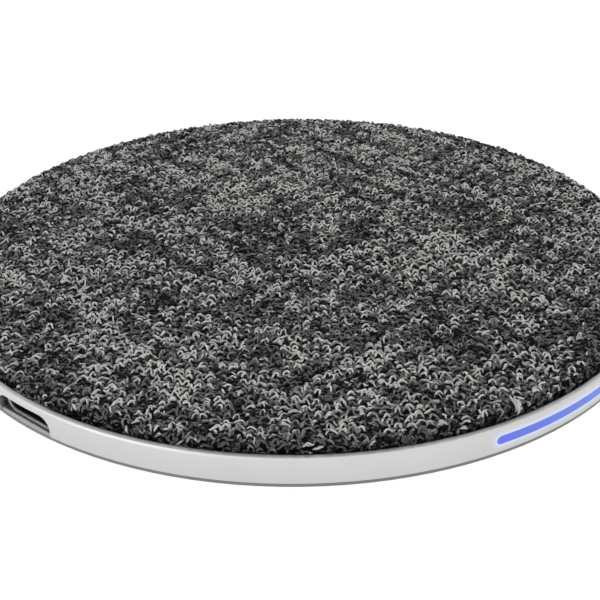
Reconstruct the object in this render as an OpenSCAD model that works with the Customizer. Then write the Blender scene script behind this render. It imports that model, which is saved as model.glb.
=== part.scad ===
// Round wireless charging pad: a cloth top in a metal rim, over a coil, a board and a flat base.
// Millimetres. The pad stands on z = 0, centred on the origin, with the socket on its -X side
// and the middle of the light bar on its -Y side.

/* [Overall] */
// Diameter over the metal rim
pad_d = 110; // [90:1:140]
// Clear height between the base's floor and the top plate
inner_h = 3.2; // [3.2:0.1:6]
// Height of the anti-slip ring's foot below the base
foot_proud = 0.8; // [0.4:0.1:1.5]

/* [Base] */
// Thickness of the base's floor
base_t = 1.2; // [1:0.1:2]
// Height of the base's edge that shows under the rim
flange_t = 0.4; // [0.3:0.1:1]
// Width of the sloping border round the base's flat underside
slope_w = 6; // [2:0.5:8]
// Thickness of the base's upright wall
base_wall = 1.35; // [1:0.05:1.5]

/* [Rim] */
// Thickness of the rim's wall
rim_wall = 1.1; // [0.9:0.05:1.6]
// Polished bevel on the rim's top outer edge
rim_bevel = 0.2; // [0.1:0.05:0.4]
// Rounding of the rim's top inner edge
rim_round = 0.3; // [0.1:0.05:0.4]
// Depth of the groove inside the rim that the base's lugs snap into
snap_depth = 0.2; // [0.1:0.05:0.3]

/* [Top] */
// Thickness of the cloth
fabric_t = 1.05; // [0.5:0.05:1.1]
// Height of the cloth above the rim
fabric_proud = 1.3; // [0.8:0.05:1.4]
// Rounding of the cloth's edge
fabric_round = 1.2; // [1.15:0.05:1.5]
// Gap between the cloth and the rim
fabric_gap = 0.25; // [0.1:0.05:0.5]
// Thickness of the plate under the cloth
plate_t = 1; // [0.9:0.05:2]
// Thickness of the cloth where it is pressed flat under the plate
hem_t = 0.45; // [0.3:0.05:0.5]
// Width of the cloth that is turned under the plate
hem_w = 4; // [3:0.5:5]

/* [Light bar] */
// Length of the light bar's window along the rim
window_len = 49; // [20:1:60]
// Height of the window
window_h = 1.25; // [0.8:0.05:1.3]
// Height of the light guide behind the window
guide_h = 0.95; // [0.8:0.05:1]
// Number of lamps behind the light bar
led_count = 3; // [1:1:5]

/* [Coil] */
// Diameter of the coil's stranded wire
wire_d = 1; // [0.8:0.05:1.25]
// Radius of the hole in the middle of the coil
coil_in_r = 10.25; // [9:0.25:12]
// Number of turns
coil_turns = 10; // [6:1:10]
// Diameter of the ferrite plate
ferrite_d = 50; // [50:1:56]
// Thickness of the ferrite plate
ferrite_t = 0.8; // [0.6:0.1:1]

/* [Board] */
// Thickness of the circuit board
board_t = 0.8; // [0.6:0.1:0.8]
// Height of the board above the floor
board_up = 0.8; // [0.6:0.1:0.8]

/* [Foot] */
// Width of the anti-slip ring
foot_w = 7; // [5:0.5:9]
// Distance of the ring's outer edge from the rim's outside
foot_inset = 10.5; // [8:0.5:14]
// Depth of the ring's groove in the base
foot_sunk = 0.5; // [0.3:0.1:0.6]

/* [Hidden] */
$fn = 96;

// Clearances and thin films
fit_gap = 0.15;      // a part that drops into another
stack_gap = 0.05;    // faces that lie one above the other
tape_t = 0.1;        // double-sided tape and glue film
cut = 5;             // how far a cutter runs past what it cuts
edge_break = 0.1;    // small bevels on machined and moulded edges

// Heights, from the table up
floor_z = foot_proud + base_t;
rim_z = floor_z + flange_t;
plate_z = floor_z + inner_h;
plate_top = plate_z + plate_t;
fabric_top = plate_top + tape_t + fabric_t;
rim_top = fabric_top - fabric_proud;
hem_z = plate_z - hem_t;
wall_top = hem_z - stack_gap;
board_z = floor_z + board_up;
board_top = board_z + board_t;
ferrite_z = floor_z + board_up + tape_t;
coil_z = ferrite_z + ferrite_t + tape_t + wire_d / 2;
guide_z = board_top + fit_gap;
window_z = guide_z + guide_h / 2;

// Radii, from the rim inwards
pad_r = pad_d / 2;
rim_in_r = pad_r - rim_wall;
wall_out_r = rim_in_r - fit_gap;
wall_in_r = wall_out_r - base_wall;
fabric_r = rim_in_r - fabric_gap;
film_r = fabric_r - fabric_t;
plate_r = film_r - tape_t;
film_round = fabric_round - fabric_t;
guide_in_r = wall_in_r - 2;
foot_out_r = pad_r - foot_inset;
foot_in_r = foot_out_r - foot_w;
base_flat_r = pad_r - slope_w;
ferrite_r = ferrite_d / 2;
board_in_r = ferrite_r + 2.5;
board_out_r = wall_in_r - 0.8;
board_mid_r = (board_in_r + board_out_r) / 2;

// Directions round the pad
port_dir = 180;
light_dir = 270;
board_from = 146;
board_to = 308;
lead_dir = 240;
window_sweep = window_len / pad_r * 180 / PI;
window_chord = 2 * pad_r * sin(window_sweep / 2);

// Socket of the standard 24-position kind, with its middle pins only
usb_w = 8.94;
usb_h = 3.2;
usb_wall = 0.3;
usb_len = 7.35;
usb_recess = rim_wall + fit_gap;
usb_up = 0.25;
usb_z = floor_z + usb_up + usb_h / 2;
usb_front_r = pad_r - usb_recess;
usb_back_r = usb_front_r - usb_len;
tongue_w = 6.69;
tongue_t = 0.7;
tongue_back = 1;
usb_stop_t = 2.2;
pin_w = 0.25;
pin_t = 0.06;
pin_back = 0.6;
usb_pins = [-2.75, -1.25, -0.75, -0.25, 0.25, 0.75, 1.25, 2.75];
port_w = usb_w + 0.9;
port_round = 1.7;
port_top = usb_z + usb_h / 2 - usb_wall + 0.05;
sill_w = 0.75;
pocket_w = usb_w + 0.5;

// Screws through the base into the plate, on the foot ring's middle circle
screw_r = (foot_in_r + foot_out_r) / 2;
screw_d = 1.9;
screw_head_d = 3.8;
screw_head_h = 0.6;
screw_hole_d = 2.2;
screw_dirs = [45, 135, 225, 315];
post_d = 4.6;
boss_d = 6;
boss_top = board_z + 0.1;
seat_z = foot_proud + foot_sunk + screw_head_h + 0.1;
screw_end = plate_z - 0.4;

// Screws that hold the board
board_screw_d = 1.5;
board_screw_head_d = 2.6;
board_screw_head_h = 0.5;
board_screw_at = [[152, board_mid_r], [210, board_in_r + 2.6], [302, board_mid_r]];
board_boss_d = 4;
board_screw_end = foot_proud + 0.8;

// Snap lugs and locating posts of the base
snap_h = 0.5;
snap_z = rim_z + 0.3;
snap_dirs = [30, 90, 150, 210, 330];
snap_sweep = 8;
pin_dirs = [60, 150, 300];
slot_w = 5.6;
slot_y = -0.9;

// Coil
coil_pitch = wire_d + 0.05;
coil_r = coil_in_r + wire_d / 2;
coil_end_r = coil_r + coil_turns * coil_pitch;
lead_z = ferrite_z + ferrite_t - wire_d / 2;
lead_bend = 1.2 * wire_d;
lead_y = -3;
lead_out_y = 2.4;
lead_up_r = ferrite_r + 0.2;
lead_land_r = board_in_r - 0.9 * wire_d;
pad_at_r = board_in_r + 2.4;
land_z = board_top + 0.6 * wire_d;

// Temperature sensor in the middle of the coil
bead_d = 1.3;
bead_y = 0.75;
bead_z = ferrite_z + ferrite_t + bead_d / 2;
leg_d = 0.36;
leg_gap = 0.7;
leg_z = ferrite_z + 0.3;
leg_land_z = board_top + leg_d / 2 + stack_gap;
leg_drop_r = coil_in_r - 2;

// A part placed on the board: direction, radius, then turned so that its x runs outwards
module on_board(dir, r) rotate(dir) translate([r, 0, board_top]) children();

// A block that stands on z = 0, centred in x and y
module block(size) translate([-size[0] / 2, -size[1] / 2, 0]) cube(size);

// A flat shape with two half-round ends, centred
module stadium(w, h) {
    square([w - h, h], center = true);
    for (side = [-1, 1]) translate([side * (w - h) / 2, 0]) circle(d = h);
}

// A ring sector of rectangular section, from one direction to another
module sector(r1, r2, z1, z2, from, to)
    rotate(from) rotate_extrude(angle = to - from) translate([r1, z1]) square([r2 - r1, z2 - z1]);

// A ring of rectangular section
module ring(r1, r2, z1, z2)
    rotate_extrude() translate([r1, z1]) square([r2 - r1, z2 - z1]);

// A rectangle in the first quadrant whose top outer corner is round
module round_corner(r, z1, z2, rad) {
    translate([0, z1]) square([r, z2 - z1 - rad]);
    translate([0, z1]) square([r - rad, z2 - z1]);
    translate([r - rad, z2 - rad]) circle(r = rad);
}

// Points along a wire that is straight at both ends and smooth at the corners it is given
function on_curve(a, b, c, t) = (1 - t) * (1 - t) * a + 2 * t * (1 - t) * b + t * t * c;
function route(c, steps) = [
    for (i = [1 : len(c) - 2], j = [0 : steps - 1])
        on_curve(i == 1 ? c[0] : (c[i - 1] + c[i]) / 2, c[i],
            i == len(c) - 2 ? c[i + 1] : (c[i] + c[i + 1]) / 2, j / steps),
    c[len(c) - 1]];
function heading(p, k) = let (step = p[min(k + 1, len(p) - 1)] - p[max(k - 1, 0)]) step / norm(step);
function across(t) = let (side = cross([0, 0, 1], t)) side / norm(side);

// Round wire along the points of a route
module wire(d, p, sides) {
    n = sides;
    last = len(p) - 1;
    polyhedron(
        [for (k = [0 : last], i = [0 : n - 1]) let (t = heading(p, k), u = across(t))
            p[k] + d / 2 * (cos(360 * i / n) * u + sin(360 * i / n) * cross(t, u))],
        [[for (i = [0 : n - 1]) i], [for (i = [n - 1 : -1 : 0]) last * n + i],
            for (k = [0 : last - 1], i = [0 : n - 1])
                [k * n + i, (k + 1) * n + i, (k + 1) * n + (i + 1) % n, k * n + (i + 1) % n]]);
}

// Arc-shaped bar with half-round ends, seen from outside the rim
module bar(r1, r2, h, z)
    intersection() {
        ring(r1, r2, z - h, z + h);
        rotate(light_dir) translate([0, 0, z]) rotate([90, 0, 90])
            linear_extrude(pad_r + cut) stadium(window_chord + h - window_h, h);
    }

// The notch in the rim, cut from below, with round upper corners
module port_cut(w, top, rad, r1) {
    rotate(port_dir) translate([r1, 0, 0]) rotate([90, 0, 90])
        linear_extrude(pad_r - r1 + cut) {
            translate([-w / 2, 0]) square([w, top - rad]);
            translate([-w / 2 + rad, 0]) square([w - 2 * rad, top]);
            for (side = [-1, 1]) translate([side * (w / 2 - rad), top - rad]) circle(r = rad);
        }
}

// The space round the socket, from r1 outwards, between two heights
module port_pocket(w, r1, r2, z1, z2)
    rotate(port_dir) translate([r1, -w / 2, z1]) cube([r2 - r1, w, z2 - z1]);

// The slot that the coil's inner lead and the sensor's wires lie in
module lead_slot(z1, z2)
    rotate(lead_dir) translate([coil_in_r - 2, slot_y - slot_w / 2, z1])
        cube([ferrite_r - coil_in_r + 4, slot_w, z2 - z1]);

module fabric_cover() color([0.25, 0.25, 0.25]) difference() {
    rotate_extrude() difference() {
        round_corner(fabric_r, hem_z, fabric_top, fabric_round);
        round_corner(film_r, plate_z - stack_gap / 2, fabric_top - fabric_t, film_round);
        translate([0, hem_z - cut]) square([plate_r - hem_w, cut + hem_t]);
    }
    port_pocket(pocket_w, plate_r - hem_w - 1, pad_r, hem_z - 1, usb_z + usb_h / 2 + stack_gap);
}

module fabric_adhesive() color([0.85, 0.8, 0.65])
    translate([0, 0, plate_top]) cylinder(r = film_r - fabric_round, h = tape_t);

module top_plate() color([0.12, 0.12, 0.13]) difference() {
    union() {
        rotate_extrude() round_corner(plate_r, plate_z, plate_top, film_round);
        for (dir = screw_dirs) rotate(dir) translate([screw_r, 0, boss_top + stack_gap])
            cylinder(d = post_d, h = plate_z - boss_top);
    }
    for (dir = screw_dirs) rotate(dir) translate([screw_r, 0, boss_top - cut])
        cylinder(d = screw_d + 0.05, h = screw_end + 0.2 - boss_top + cut);
    port_pocket(pocket_w, usb_back_r - 0.5, pad_r, plate_z - 1, usb_z + usb_h / 2 + stack_gap);
}

module rim_section() difference() {
    translate([rim_in_r, rim_z]) square([rim_wall, rim_top - rim_z]);
    translate([pad_r, rim_top]) rotate(45) square(rim_bevel * sqrt(2), center = true);
    translate([pad_r, rim_z]) rotate(45) square(edge_break * sqrt(2), center = true);
    difference() {
        translate([rim_in_r - cut, rim_top - rim_round]) square([rim_round + cut, rim_round + cut]);
        translate([rim_in_r + rim_round, rim_top - rim_round]) circle(r = rim_round);
    }
    translate([rim_in_r - cut, snap_z - stack_gap]) square([cut + snap_depth, snap_h + 2 * stack_gap]);
}

module rim() color([0.82, 0.83, 0.83]) difference() {
    rotate_extrude() rim_section();
    port_cut(port_w, port_top, port_round, rim_in_r - 1);
    bar(rim_in_r - 1, pad_r + 1, window_h, window_z);
}

module light_window() color([0.4, 0.5, 0.95])
    bar(rim_in_r, pad_r - edge_break / 2, window_h - stack_gap, window_z);

module light_guide() color([0.85, 0.9, 1])
    sector(guide_in_r, rim_in_r - stack_gap, guide_z, guide_z + guide_h,
        light_dir - window_sweep / 2, light_dir + window_sweep / 2);

module indicator_leds() color([0.95, 0.95, 0.85])
    for (i = [0 : led_count - 1])
        on_board(light_dir + (i - (led_count - 1) / 2) * window_sweep / led_count,
            guide_in_r - 0.1 - 0.6)
            difference() {
                block([1.2, 3, guide_h]);
                translate([0.45, -1, 0.2]) cube([1, 2, guide_h - 0.4]);
            }

module charging_coil() color([0.72, 0.4, 0.22])
    rotate(lead_dir) for (k = [0 : 2 * coil_turns - 1])
        translate([(k % 2) * coil_pitch / 2, 0, coil_z]) rotate((k % 2) * 180)
            rotate_extrude(angle = 180)
                translate([coil_r + k * coil_pitch / 2, 0]) circle(d = wire_d);

module coil_leads() color([0.15, 0.15, 0.15]) rotate(lead_dir) {
    // the inner end drops under the turns, turns outwards in the slot, and climbs onto the board
    wire(wire_d, route([[coil_r, -stack_gap, coil_z], [coil_r, -lead_bend / 2, coil_z],
        [coil_r, lead_y / 2, (coil_z + lead_z) / 2], [coil_r, lead_y, lead_z],
        [coil_r + 2 * lead_bend, lead_y, lead_z], [lead_up_r, lead_y, lead_z],
        [lead_land_r, lead_y, land_z], [pad_at_r, lead_y, land_z]], 5), 12);
    // the outer end turns outwards and steps down to the board
    wire(wire_d, route([[coil_end_r, stack_gap, coil_z], [coil_end_r, lead_out_y, coil_z],
        [lead_up_r, lead_out_y, coil_z], [lead_land_r, lead_out_y, land_z],
        [pad_at_r, lead_out_y, land_z]], 7), 12);
}

module coil_tape() color([0.9, 0.75, 0.3]) difference() {
    ring(coil_in_r - 1, coil_end_r + wire_d, ferrite_z + ferrite_t, ferrite_z + ferrite_t + tape_t);
    lead_slot(ferrite_z, coil_z);
}

module ferrite_plate() color([0.2, 0.2, 0.21]) difference() {
    translate([0, 0, ferrite_z]) cylinder(r = ferrite_r, h = ferrite_t);
    lead_slot(ferrite_z - 1, coil_z);
}

module ferrite_tape() color([0.9, 0.9, 0.86]) difference() {
    translate([0, 0, ferrite_z - tape_t]) cylinder(r = ferrite_r - 1, h = tape_t);
    lead_slot(ferrite_z - 1, ferrite_z + 1);
}

module temperature_sensor() color([0.15, 0.25, 0.4]) rotate(lead_dir) {
    translate([0, bead_y, bead_z]) sphere(d = bead_d);
    for (y = [bead_y - leg_gap / 2, bead_y + leg_gap / 2])
        wire(leg_d, route([[bead_d / 4, y, bead_z], [leg_drop_r, y, bead_z],
            [leg_drop_r + lead_bend, y, leg_z], [lead_up_r, y, leg_z],
            [lead_land_r, y, leg_land_z], [pad_at_r, y, leg_land_z]], 4), 6);
}

module circuit_board() color([0.05, 0.3, 0.18]) difference() {
    sector(board_in_r, board_out_r, board_z, board_top, board_from, board_to);
    port_pocket(usb_w + 0.3, usb_back_r - 0.2, pad_r, board_z - 1, board_top + 1);
    for (dir = screw_dirs) rotate(dir) translate([screw_r, 0, 0])
        cylinder(d = boss_d + 0.6, h = plate_z);
    for (at = board_screw_at) rotate(at[0]) translate([at[1], 0, 0])
        cylinder(d = board_screw_d + 0.3, h = plate_z);
}

module controller_chip() color([0.08, 0.08, 0.09])
    on_board(207, board_mid_r + 2.5) {
        block([5, 5, 0.85]);
        for (turn = [0 : 90 : 270], i = [-3 : 3]) rotate(turn)
            translate([2.5, i * 0.6, 0]) block([0.16, 0.28, 0.2]);
    }

module bridge_transistors() color([0.1, 0.1, 0.11])
    for (step = [-1, 1], row = [-1, 1])
        on_board(lead_dir + step * 3.4, board_mid_r + 2.4 + row * 2) block([3.3, 3.3, 0.9]);

module resonant_capacitors() color([0.72, 0.6, 0.42])
    for (i = [0 : 4]) on_board(256 + i * 5, board_mid_r - 2.5) block([3.2, 1.6, 1.25]);

module input_capacitors() color([0.66, 0.52, 0.36])
    for (i = [-1 : 1]) on_board(port_dir + i * 5, board_mid_r - 3) block([3.2, 1.6, 1.25]);

module sense_resistor() color([0.1, 0.1, 0.1])
    on_board(195, board_mid_r - 2.5) block([3.2, 6.4, 0.6]);

module voltage_regulator() color([0.1, 0.1, 0.11])
    on_board(169, board_mid_r + 2) {
        block([3, 1.6, 1.1]);
        for (side = [-1, 1], i = [-1 : 1]) translate([i * 0.95, side * 1, 0]) block([0.4, 0.5, 0.15]);
    }

module chip_resistors() color([0.12, 0.12, 0.13]) {
    for (i = [0 : led_count - 1])
        on_board(light_dir + (i - (led_count - 1) / 2) * window_sweep / led_count,
            guide_in_r - 3.2) block([1, 1.6, 0.45]);
    for (i = [0 : 2]) on_board(216, board_mid_r + 4 - i * 1.9) block([0.8, 1.6, 0.45]);
}

module chip_capacitors() color([0.7, 0.58, 0.42])
    for (i = [0 : 3]) on_board(207 + (i - 1.5) * 3, board_mid_r - 2.2) block([1.6, 0.8, 0.8]);

module solder_joints() color([0.75, 0.75, 0.77]) rotate(lead_dir) {
    for (y = [lead_y, lead_out_y]) translate([pad_at_r + 0.7, y, board_top]) block([1.4, 1.8, 0.6]);
    for (side = [-1, 1]) translate([pad_at_r + 0.5, bead_y + side * leg_gap / 2, board_top])
        block([1, 0.5, 0.3]);
}

module usb_shell() color([0.7, 0.7, 0.7]) {
    rotate(port_dir) translate([usb_back_r, 0, usb_z]) rotate([90, 0, 90]) {
        linear_extrude(usb_len) difference() {
            stadium(usb_w, usb_h);
            stadium(usb_w - 2 * usb_wall, usb_h - 2 * usb_wall);
        }
    }
    for (side = [-1, 1], r = [usb_back_r + 1.6, usb_front_r - 2.6])
        rotate(port_dir) translate([r, side * (usb_w / 2 + 0.25), board_top])
            block([1.1, 0.9, 0.3]);
}

module usb_insulator() color([0.06, 0.06, 0.06])
    rotate(port_dir) translate([usb_back_r, 0, usb_z]) rotate([90, 0, 90]) {
        linear_extrude(usb_stop_t) stadium(usb_w - 2 * usb_wall, usb_h - 2 * usb_wall);
        translate([-tongue_w / 2, -tongue_t / 2, usb_stop_t - stack_gap])
            cube([tongue_w, tongue_t, usb_len - tongue_back - usb_stop_t + stack_gap]);
    }

module usb_contacts() color([0.85, 0.68, 0.3])
    rotate(port_dir) translate([usb_back_r, 0, usb_z])
        for (x = usb_pins, side = [-1, 1])
            translate([usb_stop_t, x - pin_w / 2, side > 0 ? tongue_t / 2 : -tongue_t / 2 - pin_t])
                cube([usb_len - tongue_back - pin_back - usb_stop_t, pin_w, pin_t]);

module base_shell() {
    // floor with the sloping border, and the edge that the rim stands on
    rotate_extrude() polygon([[0, foot_proud], [base_flat_r, foot_proud],
        [pad_r - edge_break, floor_z - edge_break / 2], [pad_r - edge_break, rim_z], [0, rim_z]]);
    ring(wall_in_r, wall_out_r, floor_z, wall_top);
    for (dir = snap_dirs)
        sector(wall_out_r - 0.1, rim_in_r + snap_depth - stack_gap, snap_z, snap_z + snap_h,
            dir - snap_sweep / 2, dir + snap_sweep / 2);
}

module base_cover() color([0.2, 0.2, 0.21]) difference() {
    union() {
        difference() {
            base_shell();
            translate([0, 0, floor_z]) cylinder(r = wall_in_r, h = inner_h);
        }
        for (r = [coil_in_r - 1, coil_end_r])
            ring(r, r + 1.2, floor_z - 0.1, ferrite_z - tape_t);
        for (dir = pin_dirs) rotate(dir) translate([ferrite_r + 1.1, 0, floor_z - 0.1])
            cylinder(d = 1.8, h = ferrite_z + ferrite_t - floor_z);
        for (dir = screw_dirs) rotate(dir) translate([screw_r, 0, foot_proud + foot_sunk])
            cylinder(d = boss_d, h = boss_top - foot_proud - foot_sunk);
        for (at = board_screw_at) rotate(at[0]) translate([at[1], 0, floor_z - 0.1])
            cylinder(d = board_boss_d, h = board_z - floor_z + 0.1);
    }
    ring(foot_in_r, foot_out_r, 0, foot_proud + foot_sunk);
    for (dir = screw_dirs) rotate(dir) translate([screw_r, 0, 0]) {
        cylinder(d = screw_hole_d, h = plate_z);
        cylinder(d = screw_head_d + 0.3, h = seat_z);
    }
    for (at = board_screw_at) rotate(at[0]) translate([at[1], 0, board_screw_end - edge_break])
        cylinder(d = board_screw_d + 0.05, h = plate_z);
    port_pocket(port_w, wall_in_r - 1, pad_r - sill_w, floor_z, plate_z);
    sector(wall_in_r - 1, rim_in_r, guide_z - stack_gap, plate_z,
        light_dir - window_sweep / 2 - 1, light_dir + window_sweep / 2 + 1);
    lead_slot(floor_z, plate_z);
}

// A pan-head screw standing on z = 0 with a cross in its head; turned to point up or down
module screw(d, length, head_d, head_h) {
    difference() {
        cylinder(d = head_d, h = head_h);
        for (turn = [0, 90]) rotate(turn) translate([0, 0, -0.01]) block([head_d * 0.55, 0.35, head_h * 0.6]);
    }
    translate([0, 0, head_h]) cylinder(d = d, h = length);
}

module base_screws() color([0.62, 0.62, 0.64])
    for (dir = screw_dirs) rotate(dir) translate([screw_r, 0, seat_z - screw_head_h])
        screw(screw_d, screw_end - seat_z, screw_head_d, screw_head_h);

module board_screws() color([0.62, 0.62, 0.64])
    for (at = board_screw_at) rotate(at[0])
        translate([at[1], 0, board_top + board_screw_head_h]) rotate([180, 0, 0])
            screw(board_screw_d, board_top - board_screw_end, board_screw_head_d, board_screw_head_h);

module anti_slip_ring() color([0.1, 0.1, 0.1])
    rotate_extrude() {
        translate([foot_in_r, edge_break]) square([foot_w, foot_proud + foot_sunk - edge_break]);
        polygon([[foot_in_r, edge_break], [foot_in_r + edge_break, 0],
            [foot_out_r - edge_break, 0], [foot_out_r, edge_break]]);
    }

fabric_cover();
fabric_adhesive();
top_plate();
rim();
light_window();
light_guide();
indicator_leds();
charging_coil();
coil_leads();
coil_tape();
ferrite_plate();
ferrite_tape();
temperature_sensor();
circuit_board();
controller_chip();
bridge_transistors();
resonant_capacitors();
input_capacitors();
sense_resistor();
voltage_regulator();
chip_resistors();
chip_capacitors();
solder_joints();
usb_shell();
usb_insulator();
usb_contacts();
base_cover();
board_screws();
base_screws();
anti_slip_ring();
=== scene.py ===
"""Looks for a wireless charging pad.

A round pad with a knitted cover, a satin metal rim and a lit status line.
"""

import math

import bpy
import numpy as np
from bpy.props import FloatProperty, FloatVectorProperty, IntProperty, PointerProperty
from mathutils import Matrix, Vector, noise


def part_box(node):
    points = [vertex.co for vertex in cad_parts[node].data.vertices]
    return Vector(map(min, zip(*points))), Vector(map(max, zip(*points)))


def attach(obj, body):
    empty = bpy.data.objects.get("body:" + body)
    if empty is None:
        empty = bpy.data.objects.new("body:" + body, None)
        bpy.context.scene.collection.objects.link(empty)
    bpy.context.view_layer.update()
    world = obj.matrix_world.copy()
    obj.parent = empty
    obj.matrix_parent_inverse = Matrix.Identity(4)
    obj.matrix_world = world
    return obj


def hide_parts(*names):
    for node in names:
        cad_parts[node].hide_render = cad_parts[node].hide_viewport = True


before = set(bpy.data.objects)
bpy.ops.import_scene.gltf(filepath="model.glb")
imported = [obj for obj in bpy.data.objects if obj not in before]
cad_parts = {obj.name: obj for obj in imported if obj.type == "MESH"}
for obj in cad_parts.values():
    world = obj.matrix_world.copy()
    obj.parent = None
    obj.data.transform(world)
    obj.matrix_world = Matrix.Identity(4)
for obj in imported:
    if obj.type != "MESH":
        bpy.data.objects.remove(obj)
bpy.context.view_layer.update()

bl_info = {
    "name": "Wireless Charging Pad",
    "version": (1, 0, 0),
    "blender": (4, 5, 0),
    "location": "View3D > Sidebar > Charging Pad",
    "description": "Knitted cover, metal and plastic finishes, and a plain studio for the pad",
    "category": "Object",
}

MM = 0.001
TURN = 2 * math.pi
NOT_ZERO = 1e-9
BODY = "root"


# Sizes that come from the frame, in metres


def reach(node):
    """The outer radius of a round CAD node."""
    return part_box(node)[1].x


COVER_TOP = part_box("fabric_cover")[1].z
COVER_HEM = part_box("fabric_cover")[0].z
COVER_RADIUS = reach("fabric_cover")
PLATE_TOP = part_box("fabric_adhesive")[1].z
RIM_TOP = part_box("rim")[1].z
RIM_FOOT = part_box("rim")[0].z
RIM_RADIUS = reach("rim")
WINDOW_LOW, WINDOW_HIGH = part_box("light_window")
PORT_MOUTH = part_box("usb_shell")[0].x
PORT_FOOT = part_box("usb_shell")[0].z
PORT_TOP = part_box("usb_shell")[1].z
SHELL_WALL = 0.3 * MM
PORT_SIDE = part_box("usb_insulator")[1].y + SHELL_WALL
SILL_DROP = 0.25 * MM
SILL_TOP = PORT_FOOT - SILL_DROP


# What a user would change


class KnitSettings(bpy.types.PropertyGroup):
    """Sizes and colours of the knitted cover."""

    wale: FloatProperty(
        name="Wale spacing", description="Width of one loop of the knit",
        default=1.35 * MM, min=0.5 * MM, unit="LENGTH")
    course: FloatProperty(
        name="Course spacing", description="Distance between two rows of loops",
        default=0.95 * MM, min=0.4 * MM, unit="LENGTH")
    loop_height: FloatProperty(
        name="Loop height", description="Height of one loop, from its foot to its head",
        default=0.9 * MM, min=0.4 * MM, unit="LENGTH")
    ply: FloatProperty(
        name="Ply width", description="Width of one of the two plies of the yarn",
        default=0.28 * MM, min=0.1 * MM, unit="LENGTH")
    edge_round: FloatProperty(
        name="Edge rounding", description="Radius at which the cover turns down over the plate",
        default=0.65 * MM, min=0.2 * MM, unit="LENGTH")
    turn: FloatProperty(
        name="Turn", description="Direction in which the rows run",
        default=math.radians(-51.4), subtype="ANGLE")
    tuft: FloatProperty(
        name="Tuft", description="Direction of the loose fibres that hang over the edge",
        default=math.radians(-111.2), subtype="ANGLE")
    seed: IntProperty(name="Seed", description="Start of every random draw", default=7, min=0)
    chalk: FloatVectorProperty(
        name="Chalk yarn", description="Colour of the lightest fibres",
        default=(0.52, 0.51, 0.495), subtype="COLOR", min=0, max=1)
    pale: FloatVectorProperty(
        name="Pale yarn", description="Colour of the light fibres",
        default=(0.38, 0.374, 0.364), subtype="COLOR", min=0, max=1)
    ash: FloatVectorProperty(
        name="Ash yarn", description="Colour of the middle fibres",
        default=(0.20, 0.198, 0.193), subtype="COLOR", min=0, max=1)
    slate: FloatVectorProperty(
        name="Slate yarn", description="Colour of the dark grey fibres",
        default=(0.10, 0.099, 0.097), subtype="COLOR", min=0, max=1)
    coal: FloatVectorProperty(
        name="Coal yarn", description="Colour of the darkest fibres",
        default=(0.009, 0.009, 0.009), subtype="COLOR", min=0, max=1)
    ground: FloatVectorProperty(
        name="Ground", description="Colour of the cloth between the yarns",
        default=(0.003, 0.003, 0.003), subtype="COLOR", min=0, max=1)


class RimSettings(bpy.types.PropertyGroup):
    """Colours of the metal rim."""

    dull: FloatVectorProperty(
        name="Dull metal", description="Colour of the duller places on the rim",
        default=(0.62, 0.62, 0.615), subtype="COLOR", min=0, max=1)
    bright: FloatVectorProperty(
        name="Bright metal", description="Colour of the brighter places on the rim",
        default=(0.65, 0.65, 0.645), subtype="COLOR", min=0, max=1)


class LightSettings(bpy.types.PropertyGroup):
    """The status line and the painted glow that it puts on the rim."""

    colour: FloatVectorProperty(
        name="Line", description="Colour of the lit line at its start",
        default=(0.105, 0.15, 0.72), subtype="COLOR", min=0, max=1)
    colour_far: FloatVectorProperty(
        name="Line, far end", description="Colour of the lit line further on",
        default=(0.12, 0.22, 0.56), subtype="COLOR", min=0, max=1)
    plastic: FloatVectorProperty(
        name="Plastic", description="Colour of the window itself",
        default=(0.015, 0.02, 0.08), subtype="COLOR", min=0, max=1)
    strength: FloatProperty(
        name="Strength", description="How brightly the line shines", default=0.9, min=0)
    # The glow is painted: the rim itself gives off this colour beside the line
    glow: FloatVectorProperty(
        name="Glow", description="Colour that the line throws on the rim",
        default=(0.06, 0.14, 0.42), subtype="COLOR", min=0, max=1)
    glow_reach: FloatProperty(
        name="Glow reach", description="How far the glow spreads over the rim",
        default=0.7 * MM, min=0, unit="LENGTH")


class StageSettings(bpy.types.PropertyGroup):
    """Floor, light and camera."""

    eye: FloatVectorProperty(
        name="Camera", description="Place of the camera",
        default=(-0.11659, -0.09441, 0.08173), subtype="TRANSLATION", unit="LENGTH")
    look_at: FloatVectorProperty(
        name="Aim", description="Point that the camera looks at",
        default=(-0.00869, -0.00750, 0.002), subtype="TRANSLATION", unit="LENGTH")
    roll: FloatProperty(
        name="Roll", description="Turn of the camera about its own axis",
        default=math.radians(-0.479), subtype="ANGLE")
    lens: FloatProperty(
        name="Lens", description="Focal length in millimetres on a 36 mm sensor",
        default=63.18, min=1)
    floor_size: FloatProperty(
        name="Floor", description="Side of the square floor", default=6.0, min=1, unit="LENGTH")
    sky: FloatProperty(
        name="Room light", description="Strength of the even white room", default=1.0, min=0)
    key: FloatProperty(
        name="Key light", description="Power of the large lamp overhead, in watts",
        default=0.3, min=0)
    fill: FloatProperty(
        name="Fill light", description="Power of the low lamp beside the socket, in watts",
        default=0.3, min=0)


# Materials

GRAIN = 0.15 * MM
GRAIN_DEPTH = 0.01 * MM
CLOUD = 14 * GRAIN
COLOUR_SPREAD = 0.12
ROUGHNESS_SPREAD = 0.08
LEAST_ROUGHNESS = 0.02
MIX_INPUTS = (0, 6, 7)  # sockets of a colour mix: share, first and second colour
MIX_OUTPUT = 2

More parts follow.
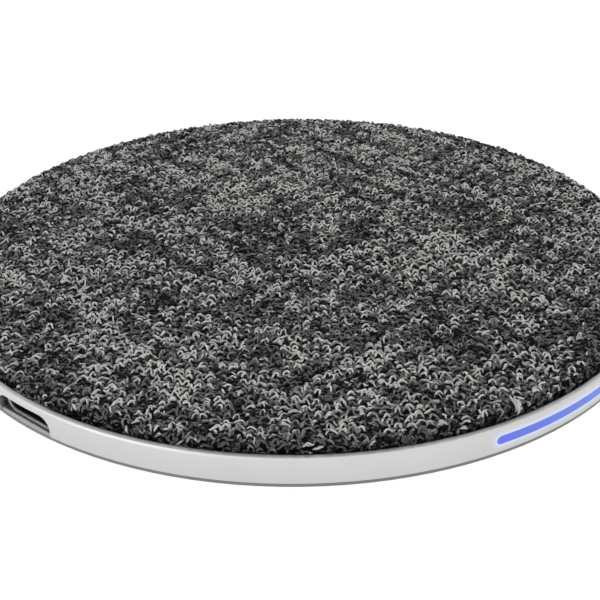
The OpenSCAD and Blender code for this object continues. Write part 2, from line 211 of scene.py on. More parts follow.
# Colour, roughness and metallic of each slot of the record
FINISHES = {
    "glue_film": ((0.55, 0.55, 0.5), 0.4, 0.0),
    "black_plastic": ((0.02, 0.02, 0.021), 0.5, 0.0),
    "clear_plastic": ((0.8, 0.82, 0.85), 0.2, 0.0),
    "white_package": ((0.8, 0.8, 0.78), 0.4, 0.0),
    "enamelled_copper": ((0.55, 0.22, 0.08), 0.3, 1.0),
    "black_sleeve": ((0.02, 0.02, 0.02), 0.6, 0.0),
    "amber_tape": ((0.6, 0.35, 0.05), 0.3, 0.0),
    "ferrite": ((0.04, 0.04, 0.042), 0.6, 0.0),
    "white_tape": ((0.75, 0.75, 0.72), 0.5, 0.0),
    "sensor_coating": ((0.02, 0.06, 0.14), 0.3, 0.0),
    "board_laminate": ((0.01, 0.09, 0.04), 0.35, 0.0),
    "black_epoxy": ((0.02, 0.02, 0.02), 0.45, 0.0),
    "tan_ceramic": ((0.45, 0.3, 0.16), 0.5, 0.0),
    "brown_ceramic": ((0.2, 0.1, 0.05), 0.5, 0.0),
    "solder": ((0.7, 0.7, 0.72), 0.3, 1.0),
    "plated_steel": ((0.72, 0.72, 0.71), 0.5, 0.6),
    "black_resin": ((0.012, 0.012, 0.013), 0.45, 0.0),
    "gold_plating": ((0.9, 0.6, 0.2), 0.25, 1.0),
    "grey_plastic": ((0.16, 0.16, 0.16), 0.5, 0.0),
    "zinc_plated_steel": ((0.6, 0.6, 0.6), 0.35, 1.0),
    "black_silicone": ((0.015, 0.015, 0.015), 0.7, 0.0),
}


class Finish:
    """A Principled material and the nodes that feed it."""

    def __init__(self, name, **sockets):
        self.material = bpy.data.materials.new(name)
        self.material.use_nodes = True
        self.tree = self.material.node_tree
        self.shader = self.tree.nodes["Principled BSDF"]
        for socket, value in sockets.items():
            self.set(self.shader, socket.replace("_", " "), value)

    def set(self, node, socket, value):
        """Gives a socket a value, a colour or a link."""
        target = node.inputs[socket]
        if isinstance(value, bpy.types.NodeSocket):
            self.tree.links.new(value, target)
        elif hasattr(value, "__len__") and len(value) == 3 and target.type == "RGBA":
            target.default_value = (*value, 1)
        else:
            target.default_value = value

    def node(self, kind, settings=(), **sockets):
        """Adds a node and fills its sockets."""
        made = self.tree.nodes.new(kind)
        for key, value in dict(settings).items():
            setattr(made, key, value)
        for socket, value in sockets.items():
            self.set(made, socket.replace("_", " "), value)
        return made

    def place(self):
        """The piece's own coordinates."""
        return self.node("ShaderNodeTexCoord").outputs["Object"]

    def axes(self):
        """The piece's own coordinates, one by one."""
        return self.node("ShaderNodeSeparateXYZ", Vector=self.place()).outputs

    def maths(self, operation, a, b=0.0):
        """One arithmetic step."""
        made = self.node("ShaderNodeMath", {"operation": operation})
        self.set(made, 0, a)
        self.set(made, 1, b)
        return made.outputs[0]

    def length(self, a, b):
        """The length of the vector (a, b)."""
        squares = self.maths("MULTIPLY", a, a), self.maths("MULTIPLY", b, b)
        return self.maths("SQRT", self.maths("ADD", *squares))

    def past(self, value, limit):
        """How far a value lies past a limit on either side of zero."""
        over = self.maths("SUBTRACT", self.maths("ABSOLUTE", value), limit)
        return self.maths("MAXIMUM", over, 0.0)

    def noise(self, size, detail=2.0, vector=None):
        """Grain whose features are about size metres wide."""
        made = self.node("ShaderNodeTexNoise", Vector=vector or self.place(),
                         Scale=1 / size, Detail=detail)
        return made.outputs["Fac"]

    def spread(self, value, low, high, start=0.3, end=0.7):
        """Stretches a value between start and end to low and high."""
        made = self.node("ShaderNodeMapRange", Value=value)
        ends = {"From Min": start, "From Max": end, "To Min": low, "To Max": high}
        for socket, number in ends.items():
            self.set(made, socket, number)
        return made.outputs["Result"]

    def blend(self, share, first, second):
        """Mixes two colours."""
        made = self.node("ShaderNodeMix", {"data_type": "RGBA"})
        for socket, value in zip(MIX_INPUTS, (share, first, second)):
            self.set(made, socket, value)
        return made.outputs[MIX_OUTPUT]

    def colour(self, value):
        """Gives the shader its colour."""
        self.set(self.shader, "Base Color", value)

    def tinted(self):
        """The colour that feeds the shader so far."""
        return self.shader.inputs["Base Color"].links[0].from_socket

    def relief(self, height, depth):
        """Bumps whose height is depth metres."""
        made = self.node("ShaderNodeBump", Height=height, Distance=depth, Strength=1.0)
        self.set(self.shader, "Normal", made.outputs["Normal"])


def shade(colour, factor):
    """A lighter or darker colour."""
    return tuple(min(1.0, c * factor) for c in colour)


def grained(name, colour, roughness, metallic):
    """A moulded, ground or coated surface: fine grain in colour, roughness and relief."""
    made = Finish(name, Metallic=metallic)
    fine = made.noise(GRAIN, detail=3)
    cloudy = made.noise(CLOUD)
    halves = made.maths("MULTIPLY", fine, 0.5), made.maths("MULTIPLY", cloudy, 0.5)
    tone = made.spread(made.maths("ADD", *halves), 0, 1)
    dark, light = shade(colour, 1 - COLOUR_SPREAD), shade(colour, 1 + COLOUR_SPREAD)
    made.colour(made.blend(tone, dark, light))
    smooth = max(LEAST_ROUGHNESS, roughness - ROUGHNESS_SPREAD)
    rough = min(1, roughness + ROUGHNESS_SPREAD)
    made.set(made.shader, "Roughness", made.spread(cloudy, smooth, rough))
    made.relief(fine, GRAIN_DEPTH)
    return made


def wear(node, finish):
    """Puts a finish on a CAD node."""
    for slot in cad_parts[node].material_slots:
        slot.material = finish.material


# Proportions of the knit: millimetres, or shares of a wale, a course, a loop or a ply

YARN_SINK = 0.8  # of a ply, from the cover's outside to the middle of the yarn
ROW_PAST_EDGE = 1.4  # mm that the rows run on down the side
ROW_SPARE = 2  # wales that a row is longer at each end
ROW_POINTS = 20  # to a loop
LOOP_SWAY = 0.06  # of a wale, lean of a loop's legs
LOOP_PINCH = 0.03  # of a wale, narrowing of a loop's neck
LOOP_TALL = 0.95  # of the loop's height
LOOP_TALL_SPREAD = 0.4
STRAY_ALONG = 0.17  # of a wale
STRAY_ACROSS = 0.3  # of a course
STRAY_LIMIT = 1.8  # times the spread
LEG_RISE = 0.05  # mm
HEAD_RISE = 0.06
STRAY_RISE = 0.06

STREAK_TURN = 0.85  # radians to either side of the rows
STREAK_LENGTH = 12  # mm
STREAK_WIDTH = 1.9
STREAK_STARTS = (3.1, 41.7)
BLOT_WIDTH = 2.2  # mm
BLOT_SHARE = 0.3
BLOT_START = 9.3

STRAND_RINGS = 6
STRAND_SIDES = 4
STRAND_TRIANGLES = 2 * ((STRAND_RINGS - 1) * STRAND_SIDES + 2)
PIECE_TRIANGLES = 190_000
STRAND_CUT = 0.4  # mm that a strand's end strays along the yarn
STRAND_LEAST = 0.35  # mm
STRAND_SHARE = (0.6, 1.15)  # of the way from cut to cut
STRAND_BOW = 0.45  # of a ply, how far the ends dip
STRAND_LOWEST = -0.17  # mm, below which a strand is out of sight
STRAND_TIP = 0.12  # of half a wave, where the taper starts
STRAND_TAPER = 0.6
STRAND_WIDTHS = (0.75, 1.2)  # of a ply
STRAND_OVAL = 1.15
TWIST_LENGTH = 2.1  # mm
TWIST_WIDTH = 0.42  # of a ply

TONE_STREAK = 1.5
TONE_LOOP = 0.42
TONE_HEAD = 0.3
TONE_STRAND = 0.45
# painted shade on the cover's turned-down edge
TONE_PAINTED_SIDE_SHADE = 0.8
TONE_TUFT = 9.0

TUFT_FIBRES = 10
TUFT_ROOT = (-0.7, 0.1)  # mm past the flat top
TUFT_LENGTH = (1.3, 2.2)
TUFT_SPREAD = 0.24
TUFT_SPLAY = 0.3
TUFT_LIFT = 0.1
TUFT_ARCH = 0.18
TUFT_ARCH_LEAST = 0.4

GROUND_CELLS = 200  # along each side of the flat top
GROUND_STEPS = 10  # from the flat top to the hem
GROUND_SINK = 0.32  # of a ply
GROUND_RELIEF = 0.3  # of a ply
LUMP = (0.55, 0.5)  # mm
LUMP_START = 2.0
SPECK = (0.3, 0.3)
SPECK_START = 7.0
SPECK_SHARE = 0.5
FLECK = 0.5 * MM
FLECK_STRETCH = (1.6, 1.0, 1.0)
FLECK_RANGE = (0.5, 0.8)
FUZZ = 0.12 * MM
FUZZ_DEPTH = 0.05 * MM
HEM_ROUND = 0.25  # mm
HEM_INSET = 0.15
HEM_WIDTH = 4
HEM_THICKNESS = 0.42
SIDE_THICKNESS = 0.78
LINING_GAP = 0.02
LINING_ROUND = 0.25

# Name, share of all strands and the two fibres of each yarn, from light to dark
YARNS = (("pale_yarn", 0.30, ("chalk", "pale")),
         ("grey_yarn", 0.35, ("ash", "slate")),
         ("coal_yarn", 0.35, ("slate", "coal")))


class Knit:
    """The yarns of the cover, laid flat in millimetres and then wrapped over the plate."""

    def __init__(self, settings):
        self.wale = settings.wale / MM
        self.course = settings.course / MM
        self.loop = settings.loop_height / MM
        self.ply = settings.ply / MM
        self.round = settings.edge_round / MM
        self.turn = settings.turn
        self.tuft = settings.tuft - settings.turn
        self.top = COVER_TOP / MM - YARN_SINK * self.ply
        self.side = COVER_RADIUS / MM - YARN_SINK * self.ply
        self.flat = self.side - self.round
        self.reach = self.flat + math.pi / 2 * self.round + ROW_PAST_EDGE
        self.rows = int(self.reach / self.course)
        self.draw = np.random.default_rng(settings.seed)

    def turned(self, x, y, z):
        """Places or directions on the cloth, turned to the way that its rows run."""
        c, s = math.cos(self.turn), math.sin(self.turn)
        return np.stack([c * x - s * y, s * x + c * y, z], -1)

    def wrap(self, u, v, h):
        """Flat cloth coordinates and height over the cloth to places on the cover."""
        far = np.maximum(np.hypot(u, v), NOT_ZERO)
        over = far - self.flat
        angle = np.clip(over / self.round, 0, math.pi / 2)
        drop = np.maximum(over - self.round * math.pi / 2, 0)
        bend = self.round + h
        radius = np.where(over < 0, far, self.flat + bend * np.sin(angle))
        down = self.top - self.round + bend * np.cos(angle) - drop
        height = np.where(over < 0, self.top + h, down)
        return self.turned(u / far * radius, v / far * radius, height)

    def outward(self, u, v):
        """The direction that points out of the cloth."""
        far = np.maximum(np.hypot(u, v), NOT_ZERO)
        angle = np.clip((far - self.flat) / self.round, 0, math.pi / 2)
        return self.turned(u / far * np.sin(angle), v / far * np.sin(angle), np.cos(angle))

    def stray(self, t, step):
        """Random values at even steps along t, and what lies between them."""
        at = np.arange(t[0] - step, t[-1] + 2 * step, step)
        return np.interp(t, at, self.draw.normal(0, 1.0, len(at)).clip(-STRAY_LIMIT, STRAY_LIMIT))

    def row(self, k):
        """The centre line of one row's yarn, with its height. One loop is one turn of t."""
        middle = k * self.course
        half = math.sqrt(max(self.reach ** 2 - middle ** 2, 0)) + ROW_SPARE * self.wale
        end = half / self.wale * TURN
        t = np.arange(-end, end, TURN / ROW_POINTS)
        u = self.wale * t / TURN + LOOP_SWAY * self.wale * np.sin(t)
        u = u + LOOP_PINCH * self.wale * np.sin(2 * t)
        lift = self.stray(t, math.pi)
        tall = LOOP_TALL + LOOP_TALL_SPREAD * self.stray(t, TURN)
        v = middle + self.loop / 2 * np.cos(t) * tall
        u = u + STRAY_ALONG * self.wale * self.stray(t, math.pi)
        v = v + STRAY_ACROSS * self.course * self.stray(t, math.pi)
        h = LEG_RISE * np.cos(2 * t) + HEAD_RISE * np.cos(t) + STRAY_RISE * lift
        return t, u, v, h

    def patches(self, u, v):
        """Light and dark streaks of the melange, from about -1 to 1, in two crossing directions."""
        found = []
        for a, b in zip(u, v):
            total = 0.0
            for angle, start in zip((STREAK_TURN, -STREAK_TURN), STREAK_STARTS):
                along = a * math.cos(angle) + b * math.sin(angle)
                across = b * math.cos(angle) - a * math.sin(angle)
                total += noise.noise(Vector((along / STREAK_LENGTH, across / STREAK_WIDTH, start)))
            blot = noise.noise(Vector((a / BLOT_WIDTH, b / BLOT_WIDTH, BLOT_START)))
            total += BLOT_SHARE * blot
            found.append(total)
        return np.array(found)

    def strand(self, path, travelled, s, twist):
        """One ply between two cuts: its flat places and heights at the lengths s along the yarn."""
        u, v, h = (np.interp(s, travelled, w) for w in path)
        du, dv = np.gradient(u), np.gradient(v)
        size = np.maximum(np.hypot(du, dv), NOT_ZERO)
        side = TWIST_WIDTH * self.ply * np.cos(twist)
        return (u - dv / size * side, v + du / size * side,
                h + TWIST_WIDTH * self.ply * np.sin(twist))

    def strands(self):
        """Half a loop at a time, both plies of every row: flat places, heights and tones."""
        along = np.linspace(0, 1, STRAND_RINGS)
        strands, tones = [], []
        for k in range(-self.rows, self.rows + 1):
            t, u, v, h = self.row(k)
            travelled = np.concatenate([[0], np.cumsum(np.hypot(np.diff(u), np.diff(v)))])
            halves = np.arange(math.ceil(t[0] / math.pi) + 1, math.floor(t[-1] / math.pi) - 1)
            ends = np.interp((halves - 0.5) * math.pi, t, travelled)
            shared = self.draw.normal(0, TONE_LOOP, len(ends))
            for ply in (0, 1):
                cuts = self.draw.normal(0, STRAND_CUT, len(ends))
                cuts = ends + cuts.clip(-2 * STRAND_CUT, 2 * STRAND_CUT)
                phase = self.draw.uniform(0, TURN)
                for half, start, end, loop in zip(halves, cuts[:-1], cuts[1:], shared):
                    run = along * max(end - start, STRAND_LEAST)
                    s = start + run * self.draw.uniform(*STRAND_SHARE)
                    twist = phase + ply * math.pi + TURN * s / TWIST_LENGTH
                    strands.append(self.strand((u, v, h), travelled, s, twist))
                    tones.append(TONE_HEAD * (1 - 2 * (half % 2)) + loop)
        u, v, h = (np.array([one[i] for one in strands]) for i in range(3))
        h = h - STRAND_BOW * self.ply * (2 * along - 1) ** 4
        keep = (np.hypot(u, v).max(1) < self.reach) & (h.mean(1) > STRAND_LOWEST)
        u, v, h = u[keep], v[keep], h[keep]
        tone = TONE_STREAK * self.patches(u.mean(1), v.mean(1)) + np.array(tones)[keep]
        tone += self.draw.normal(0, TONE_STRAND, len(u))
        # painted shade: strands darken as the cover turns down over its edge
        tone -= TONE_PAINTED_SIDE_SHADE * np.clip((np.hypot(u, v).mean(1) - self.flat) / self.round, 0, 1)
        return [np.concatenate(pair) for pair in zip((u, v, h, tone), self.loose(along))]

    def loose(self, along):
        """A tuft of pale fibres that lean out over the edge: flat places, heights and tones."""
        one_each = (TUFT_FIBRES, 1)
        start = self.flat + self.draw.uniform(*TUFT_ROOT, one_each)
        far = start + along * self.draw.uniform(*TUFT_LENGTH, one_each)
        side = self.draw.normal(0, TUFT_SPREAD, one_each)
        side = side + TUFT_SPLAY * along * self.draw.normal(0, 1, one_each)
        angle = self.tuft + side / far
        arch = TUFT_ARCH * np.sin(math.pi * along) * self.draw.uniform(TUFT_ARCH_LEAST, 1, one_each)
        return (far * np.cos(angle), far * np.sin(angle), TUFT_LIFT + arch,
                np.full(TUFT_FIBRES, TONE_TUFT))


def smooth_piece(name, points, faces):
    """A smooth piece from points in millimetres and faces."""
    mesh = bpy.data.meshes.new(name)
    mesh.from_pydata((points * MM).tolist(), [], faces)
    mesh.polygons.foreach_set("use_smooth", np.ones(len(mesh.polygons), bool))
    mesh.update()
    made = bpy.data.objects.new(name, mesh)
    bpy.context.scene.collection.objects.link(made)
    return made


def unit(vectors):
    """Vectors of length one."""
    return vectors / np.maximum(np.linalg.norm(vectors, axis=2, keepdims=True), NOT_ZERO)


def strand_mesh(name, knit, u, v, h, shades, materials):
    """One piece made of many short closed strands, each tapered at both ends."""
    places = knit.wrap(u, v, h)
    count, rings = u.shape
    ahead = unit(np.gradient(places, axis=1))
    across = unit(np.cross(ahead, knit.outward(u, v)))
    up = np.cross(across, ahead)
    taper = np.sin(np.linspace(STRAND_TIP, 1 - STRAND_TIP, rings) * math.pi) ** STRAND_TAPER
    wide = knit.ply / 2 * taper * knit.draw.uniform(*STRAND_WIDTHS, (count, 1))
    corners = []
    for k in range(STRAND_SIDES):
        angle = TURN * (k + 0.5) / STRAND_SIDES
        corners.append(places + across * (wide * math.cos(angle) * STRAND_OVAL)[..., None]
                       + up * (wide * math.sin(angle))[..., None])
    points = np.stack(corners, 2).reshape(-1, 3)
    first = (np.arange(count) * rings * STRAND_SIDES)[:, None, None, None]
    ring = first + np.arange(rings - 1)[None, :, None, None] * STRAND_SIDES
    k = np.arange(STRAND_SIDES)[None, None, :, None]
    n = (k + 1) % STRAND_SIDES
    above = ring + STRAND_SIDES
    walls = np.concatenate([ring + k, above + k, above + n, ring + n], -1)
    start = first[..., 0] + np.arange(STRAND_SIDES)[None, None, :]
    end = (start + (rings - 1) * STRAND_SIDES)[..., ::-1]
    faces = np.concatenate([walls.reshape(count, -1, STRAND_SIDES), start, end], 1)
    made = smooth_piece(name, points, faces.reshape(-1, STRAND_SIDES).tolist())
    for material in materials:
        made.data.materials.append(material)
    made.data.polygons.foreach_set("material_index",
                                   np.repeat(shades, faces.shape[1]).astype(np.int32))
    made.data.update()
    return made


def lumps(u, v, size, start):
    """Unevenness of the cloth at flat places, from about -1 to 1."""
    return np.array([noise.noise(Vector((a / size[0], b / size[1], start)))
                     for a, b in zip(u, v)])


def ground_mesh(name, knit):
    """The ground of the knit: one closed sheet over the plate, down its side and under it."""
    line = np.linspace(-1, 1, GROUND_CELLS + 1)
    x, y = np.meshgrid(line, line)
    u = (x * np.sqrt(1 - y * y / 2) * knit.flat).ravel()
    v = (y * np.sqrt(1 - x * x / 2) * knit.flat).ravel()
    index = np.arange(len(u)).reshape(x.shape)
    quads = np.stack([index[:-1, :-1], index[:-1, 1:], index[1:, 1:], index[1:, :-1]], -1)
    edge = np.concatenate([index[0, :-1], index[:-1, -1], index[-1, :0:-1], index[:0:-1, 0]])
    deep, relief = -GROUND_SINK * knit.ply, GROUND_RELIEF * knit.ply
    grain = lumps(u, v, LUMP, LUMP_START) + SPECK_SHARE * lumps(u, v, SPECK, SPECK_START)
    edge_u, edge_v = u[edge] / knit.flat, v[edge] / knit.flat

    # rings of points from the edge of the flat top to the hem, and back under the plate
    rings = []
    hem, bore = COVER_HEM / MM, COVER_RADIUS / MM - SIDE_THICKNESS
    inside = PLATE_TOP / MM + LINING_GAP
    drop = (knit.top - knit.round) - (hem + HEM_ROUND)
    for s in np.linspace(0, knit.round * math.pi / 2 + drop, GROUND_STEPS + 1)[1:]:
        far_u, far_v = edge_u * (knit.flat + s), edge_v * (knit.flat + s)
        grain_here = lumps(far_u, far_v, LUMP, LUMP_START + s)
        rings.append(knit.wrap(far_u, far_v, deep + relief * grain_here))
    hem_end, hem_top = knit.side - HEM_WIDTH, hem + HEM_THICKNESS
    for radius, height in ((knit.side - HEM_INSET, hem), (hem_end, hem), (hem_end, hem_top),
                           (bore, hem_top), (bore, inside - LINING_ROUND),
                           (bore - LINING_ROUND, inside)):
        rings.append(knit.turned(edge_u * radius, edge_v * radius, np.full(len(edge), height)))

    faces, last, total = [quads.reshape(-1, 4)], edge, len(u)
    for _ in rings:
        ring = total + np.arange(len(edge))
        faces.append(np.stack([last, ring, np.roll(ring, -1), np.roll(last, -1)], -1))
        last, total = ring, total + len(edge)
    points = np.concatenate([knit.wrap(u, v, deep + relief * grain), *rings])
    return smooth_piece(name, points, np.concatenate(faces).tolist() + [last.tolist()])


def ground_finish(settings):
    """Dark cloth with greyer flecks along the rows."""
    finish = Finish("melange ground", Roughness=0.95, Specular_IOR_Level=0.05)
    rows = finish.node("ShaderNodeMapping", {"vector_type": "TEXTURE"}, Vector=finish.place(),
                       Rotation=(0, 0, settings.turn), Scale=FLECK_STRETCH)
    fleck = finish.noise(FLECK, vector=rows.outputs["Vector"])
    share = finish.spread(fleck, 0, 1, *FLECK_RANGE)
    finish.colour(finish.blend(share, settings.ground, settings.ash))
    finish.relief(finish.noise(FUZZ), FUZZ_DEPTH)
    return finish


def yarn_finish(name, colour):
    """Soft matt fibre."""
    return Finish(name, Base_Color=colour, Roughness=0.85, Specular_IOR_Level=0.15)


def yarn_pieces(settings, knit):
    """Sorts the strands by tone into yarns from light to dark, each cut into pieces."""
    u, v, h, tone = knit.strands()
    order = np.argsort(-tone)
    pieces = []
    start = 0
    for name, share, fibres in YARNS:
        mine = order[start:start + int(share * len(tone))]
        start += len(mine)
        materials = [yarn_finish(f"{fibre} fibre {name}", getattr(settings, fibre)).material
                     for fibre in fibres]
        mine = mine[np.argsort(v[mine].mean(1))]
        parts = math.ceil(len(mine) * STRAND_TRIANGLES / PIECE_TRIANGLES)
        for i, some in enumerate(np.array_split(mine, parts)):
            shades = (knit.draw.uniform(0, 1, len(some)) < 0.5).astype(int)
            pieces.append(strand_mesh(f"{name}_{i + 1}", knit, u[some], v[some], h[some],
                                      shades, materials))
    return pieces


class PAD_OT_knit_cover(bpy.types.Operator):
    """Knits the cover: a dark ground with loops of light, grey and dark yarn on it"""

    bl_idname = "pad.knit_cover"
    bl_label = "Knit cover"

    def execute(self, context):
        settings = context.scene.pad_knit
        knit = Knit(settings)
        ground = ground_mesh("knit_cover", knit)
        ground.data.materials.append(ground_finish(settings).material)
        yarns = yarn_pieces(settings, knit)
        for piece in [ground, *yarns]:
            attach(piece, BODY)
        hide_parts("fabric_cover")
        return {"FINISHED"}


# Rim and status line

# Painted shade and painted reflection: the rim's colour darkens on its inner edge, where the dark
# cloth shades it and shows in the metal
RIM_SHADE = 0.30  # of the metal's colour, on the inner edge beside the cloth
RIM_SHADE_BAND = (1.1 * MM, 0.2 * MM)  # in from the outside
# Painted shade: the rim's side darkens from just under its top down to its foot
RIM_LOW_SHADE = 0.92
RIM_LOW_END = 0.5 * MM  # under the rim's top
RIM_GRAIN = 0.06 * MM
RIM_GRAIN_DEPTH = 0.004 * MM
RIM_CLOUD = 7 * MM
RIM_ROUGHNESS = (0.38, 0.46)
LINE_RUN = 0.3  # of the right half, where the far colour is reached


class PAD_OT_rim_finish(bpy.types.Operator):
    """Gives the rim its satin metal, with painted shade and painted reflection of the dark cloth on
    its inner edge, painted shade towards its foot, and a painted glow from the status line
    """

    bl_idname = "pad.rim_finish"
    bl_label = "Rim finish"

    def execute(self, context):
        metal, light = context.scene.pad_rim, context.scene.pad_light
        finish = Finish("satin aluminium", Metallic=1.0)
        fine = finish.noise(RIM_GRAIN)
        cloudy = finish.noise(RIM_CLOUD, detail=3)
        satin = finish.blend(finish.spread(cloudy, 0, 1), metal.dull, metal.bright)
        x, y, z = finish.axes()
        # painted shade and painted reflection of the dark cloth, darkening the inner edge beside
        # the cloth
        inner, outer = (RIM_RADIUS - band for band in RIM_SHADE_BAND)
        beside = finish.spread(finish.length(x, y), RIM_SHADE, 1.0, inner, outer)
        # painted shade, darker towards the rim's foot
        low = finish.spread(z, RIM_LOW_SHADE, 1.0, RIM_FOOT, RIM_TOP - RIM_LOW_END)
        finish.colour(finish.blend(finish.maths("MULTIPLY", beside, low), (0, 0, 0), satin))
        # painted glow: the metal gives off the line's blue within the glow reach of the window
        half = (WINDOW_HIGH.z - WINDOW_LOW.z) / 2
        beyond = finish.past(x, WINDOW_HIGH.x - half)
        over = finish.maths("SUBTRACT", z, WINDOW_LOW.z + half)
        painted_glow_share = finish.spread(finish.length(beyond, over), 1.0, 0.0, half, half + light.glow_reach)
        front = finish.maths("LESS_THAN", y, 0.0)
        finish.set(finish.shader, "Emission Color", light.glow)
        finish.set(finish.shader, "Emission Strength", finish.maths("MULTIPLY", painted_glow_share, front))
        finish.set(finish.shader, "Roughness", finish.spread(fine, *RIM_ROUGHNESS))
        finish.relief(fine, RIM_GRAIN_DEPTH)
        wear("rim", finish)
        return {"FINISHED"}


class PAD_OT_light_finish(bpy.types.Operator):
    """Lights the status line in the rim"""

    bl_idname = "pad.light_finish"
    bl_label = "Light finish"

    def execute(self, context):
        settings = context.scene.pad_light
        finish = Finish("lit blue plastic", Roughness=0.35, Specular_IOR_Level=0.4)
        run = finish.spread(finish.axes()["X"], 0, 1, WINDOW_LOW.x, WINDOW_HIGH.x * LINE_RUN)
        finish.colour(settings.plastic)
        finish.set(finish.shader, "Emission Color",
                   finish.blend(run, settings.colour, settings.colour_far))
        finish.set(finish.shader, "Emission Strength", settings.strength)
        wear("light_window", finish)
        return {"FINISHED"}


# Base, socket and what is inside

OWN_FINISH = ("rim", "light_window", "fabric_cover")
# Painted light on the sill in front of the socket: the base's colour is lightened there
SILL_PAINTED_LIGHT = 4.5  # times the base's colour
SILL_FADE = 0.6 * MM  # from the socket's mouth outwards
SILL_SIDE = (5.0 * MM, 5.2 * MM)
SILL_THICK = 0.1 * MM
SILL_EDGE = (0.18 * MM, 0.14 * MM)  # in from the rim's outside
# Painted shade inside the socket's mouth: colour, wall and depth of the darkened inside
MOUTH_PAINTED_SHADE = (0.004, 0.004, 0.004)
MOUTH_WALL = (0.2 * MM, 0.15 * MM)
MOUTH_DEPTH = (0.02 * MM, 0.25 * MM)


def paint_light_on_sill(finish, colour):
    """Paints light on the base where it forms the sill in front of the socket: the base turns paler
    there.
    """
    tinted = finish.tinted()
    x, y, z = finish.axes()
    deep = finish.spread(x, 0.0, 1.0, PORT_MOUTH, PORT_MOUTH - SILL_FADE)
    beside = finish.spread(finish.maths("ABSOLUTE", y), 1.0, 0.0, *SILL_SIDE)
    over = finish.spread(z, 0.0, 1.0, SILL_TOP - SILL_THICK, SILL_TOP)
    inner, outer = (RIM_RADIUS - band for band in SILL_EDGE)
    within = finish.spread(finish.length(x, y), 1.0, 0.0, inner, outer)
    share = finish.maths("MULTIPLY", finish.maths("MULTIPLY", deep, beside),
                         finish.maths("MULTIPLY", over, within))
    finish.colour(finish.blend(share, tinted, shade(colour, SILL_PAINTED_LIGHT)))


def paint_shade_in_mouth(finish, metallic):
    """Paints shade inside the socket: the shell turns dark and loses its metal there."""
    tinted = finish.tinted()
    x, y, z = finish.axes()
    half = (PORT_TOP - PORT_FOOT) / 2
    beside = finish.past(y, PORT_SIDE - half)
    over = finish.maths("SUBTRACT", z, PORT_FOOT + half)
    outer, inner = (half - wall for wall in MOUTH_WALL)
    inside = finish.spread(finish.length(beside, over), 1.0, 0.0, outer, inner)
    front, back = (PORT_MOUTH + depth for depth in MOUTH_DEPTH)
    share = finish.maths("MULTIPLY", inside, finish.spread(x, 0.0, 1.0, front, back))
    finish.colour(finish.blend(share, tinted, MOUTH_PAINTED_SHADE))
    finish.set(finish.shader, "Metallic", finish.spread(share, metallic, 0.0, 0.0, 1.0))


class PAD_OT_inner_finishes(bpy.types.Operator):
    """Gives every other part its plastic, metal, ceramic or rubber"""

    bl_idname = "pad.inner_finishes"
    bl_label = "Other finishes"

    def execute(self, context):
        for name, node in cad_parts.items():
            if name in OWN_FINISH:
                continue
            slot = node.material_slots[0].material.name
            colour, roughness, metallic = FINISHES[slot]
            finish = grained(f"{slot.replace('_', ' ')} {name}", colour, roughness, metallic)
            # painted light on the sill in front of the socket
            if name == "base_cover":
                paint_light_on_sill(finish, colour)
            # painted shade inside the socket's mouth
            if name == "usb_shell":
                paint_shade_in_mouth(finish, metallic)
            wear(name, finish)
        return {"FINISHED"}


# Stage

FLOOR_DROP = 0.02 * MM
FLOOR_GREY = (0.08, 0.08, 0.08)
FLOOR_SHINE = 0.97
SENSOR = 36  # mm
CLIP = (0.005, 20)
# Name, place, side and power setting of each lamp, all aimed at the middle of the pad
LAMPS = (("overhead", (-0.1, 0.05, 0.6), 0.4, "key"),
         ("left", (-0.45, 0.10, 0.22), 0.25, "fill"))


def aim(away):
    """The turn that makes a lamp or camera look along a vector."""
    return away.to_track_quat("-Z", "Y")


def lay_floor(settings):
    """A plain floor that reads as white."""
    bpy.ops.mesh.primitive_plane_add(size=settings.floor_size, location=(0, 0, -FLOOR_DROP))
    floor = bpy.context.object
    floor.name = "floor"
    pale = Finish("pale floor", Base_Color=FLOOR_GREY, Roughness=0.9, Specular_IOR_Level=0.0,
                  Emission_Color=(1, 1, 1), Emission_Strength=FLOOR_SHINE)
    floor.data.materials.append(pale.material)


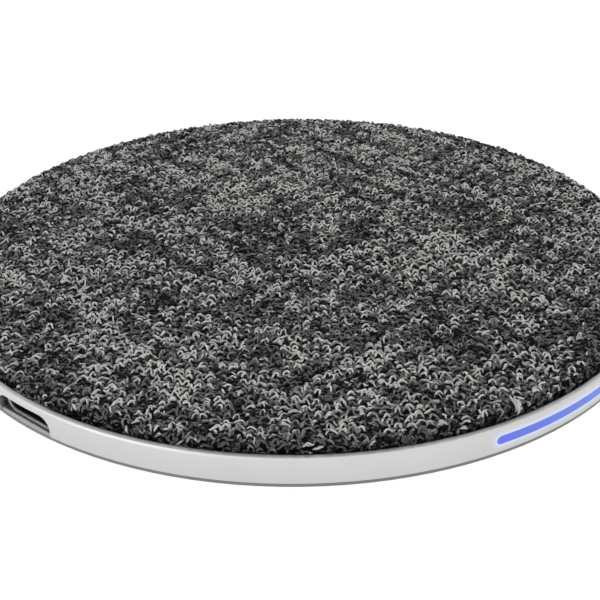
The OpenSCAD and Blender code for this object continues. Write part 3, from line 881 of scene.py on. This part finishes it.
def light_room(scene, settings):
    """An even white room and the lamps."""
    scene.world = bpy.data.worlds.new("white room")
    scene.world.use_nodes = True
    room = scene.world.node_tree.nodes["Background"].inputs
    room["Color"].default_value = (1, 1, 1, 1)
    room["Strength"].default_value = settings.sky
    for name, place, side, power in LAMPS:
        bpy.ops.object.light_add(type="AREA", location=place)
        lamp = bpy.context.object
        lamp.name = name
        lamp.data.shape = "SQUARE"
        lamp.data.size = side
        lamp.data.energy = getattr(settings, power)
        lamp.rotation_euler = aim(-lamp.location).to_euler()


def place_camera(scene, settings):
    """The camera, on its aim and with its roll."""
    bpy.ops.object.camera_add(location=settings.eye)
    camera = bpy.context.object
    camera.name = "camera"
    turn = aim(Vector(settings.look_at) - Vector(settings.eye)).to_matrix().to_4x4()
    roll = Matrix.Rotation(settings.roll, 4, "Z")
    camera.matrix_world = Matrix.Translation(settings.eye) @ turn @ roll
    camera.data.lens = settings.lens
    camera.data.sensor_width = SENSOR
    camera.data.clip_start, camera.data.clip_end = CLIP
    scene.camera = camera


class PAD_OT_stage(bpy.types.Operator):
    """Sets the pad on a plain pale floor in soft light, and places the camera"""

    bl_idname = "pad.stage"
    bl_label = "Stage"

    def execute(self, context):
        settings = context.scene.pad_stage
        lay_floor(settings)
        light_room(context.scene, settings)
        place_camera(context.scene, settings)
        context.scene.view_settings.view_transform = "Standard"
        return {"FINISHED"}


# Panel and registration

STEPS = (PAD_OT_inner_finishes, PAD_OT_rim_finish, PAD_OT_light_finish, PAD_OT_knit_cover,
         PAD_OT_stage)
GROUPS = {"pad_knit": KnitSettings, "pad_rim": RimSettings, "pad_light": LightSettings,
          "pad_stage": StageSettings}


class PAD_PT_panel(bpy.types.Panel):
    """Lists the steps that finish and stage the pad"""

    bl_idname = "PAD_PT_panel"
    bl_label = "Charging pad"
    bl_space_type = "VIEW_3D"
    bl_region_type = "UI"
    bl_category = "Charging Pad"

    def draw(self, context):
        for step in STEPS:
            self.layout.operator(step.bl_idname)


CLASSES = (*GROUPS.values(), *STEPS, PAD_PT_panel)


def register():
    for made in CLASSES:
        bpy.utils.register_class(made)
    for name, group in GROUPS.items():
        setattr(bpy.types.Scene, name, PointerProperty(type=group))


def unregister():
    for name in GROUPS:
        delattr(bpy.types.Scene, name)
    for made in reversed(CLASSES):
        bpy.utils.unregister_class(made)


def main():
    register()
    for step in STEPS:
        family, name = step.bl_idname.split(".")
        getattr(getattr(bpy.ops, family), name)()


if __name__ == "__main__":
    main()
